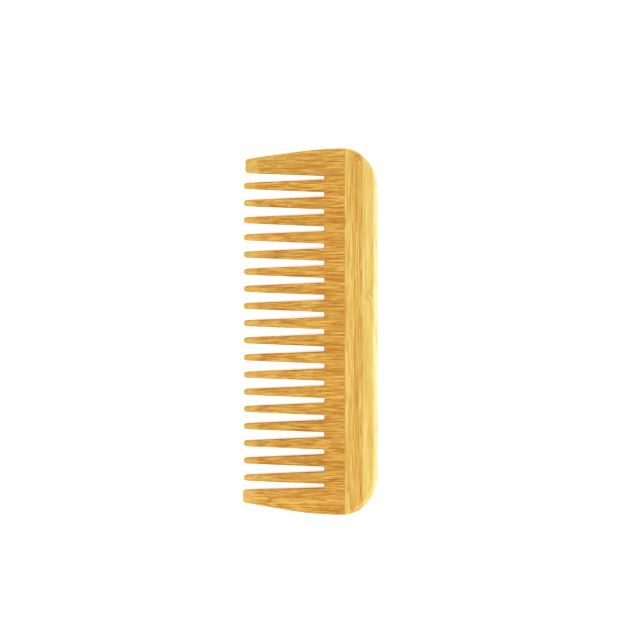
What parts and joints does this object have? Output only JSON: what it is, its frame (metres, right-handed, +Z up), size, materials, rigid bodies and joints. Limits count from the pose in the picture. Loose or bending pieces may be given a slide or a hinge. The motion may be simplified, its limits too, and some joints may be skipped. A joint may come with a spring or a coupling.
{
  "type": "wide tooth comb",
  "caption": "Flat wide tooth comb of glued bamboo strips: a rounded spine with tapering teeth along one side and a broad guard tooth at each end.",
  "frame": {"origin": "middle of the comb's box, on the broad face that it lies on", "axes": "+X from the tooth tips to the back of the spine, +Y along the comb, +Z up through its thickness"},
  "size_m": [0.0556, 0.15, 0.006],
  "materials": {
    "tooth_bamboo": "fine-sanded, oiled bamboo",
    "spine_inner_bamboo": "fine-sanded, oiled bamboo",
    "spine_outer_bamboo": "fine-sanded, oiled bamboo"
  },
  "bodies": {
    "root": {"tooth_01": "tooth_bamboo", "tooth_02": "tooth_bamboo", "tooth_03": "tooth_bamboo", "tooth_04": "tooth_bamboo", "tooth_05": "tooth_bamboo", "tooth_06": "tooth_bamboo", "tooth_07": "tooth_bamboo", "tooth_08": "tooth_bamboo", "tooth_09": "tooth_bamboo", "tooth_10": "tooth_bamboo", "tooth_11": "tooth_bamboo", "tooth_12": "tooth_bamboo", "tooth_13": "tooth_bamboo", "tooth_14": "tooth_bamboo", "tooth_15": "tooth_bamboo", "tooth_16": "tooth_bamboo", "tooth_17": "tooth_bamboo", "tooth_18": "tooth_bamboo", "upper_guard_inner": "tooth_bamboo", "upper_guard_outer": "tooth_bamboo", "lower_guard_inner": "tooth_bamboo", "lower_guard_outer": "tooth_bamboo", "spine_inner_strip": "spine_inner_bamboo", "spine_outer_strip": "spine_outer_bamboo"}
  },
  "joints": []
}
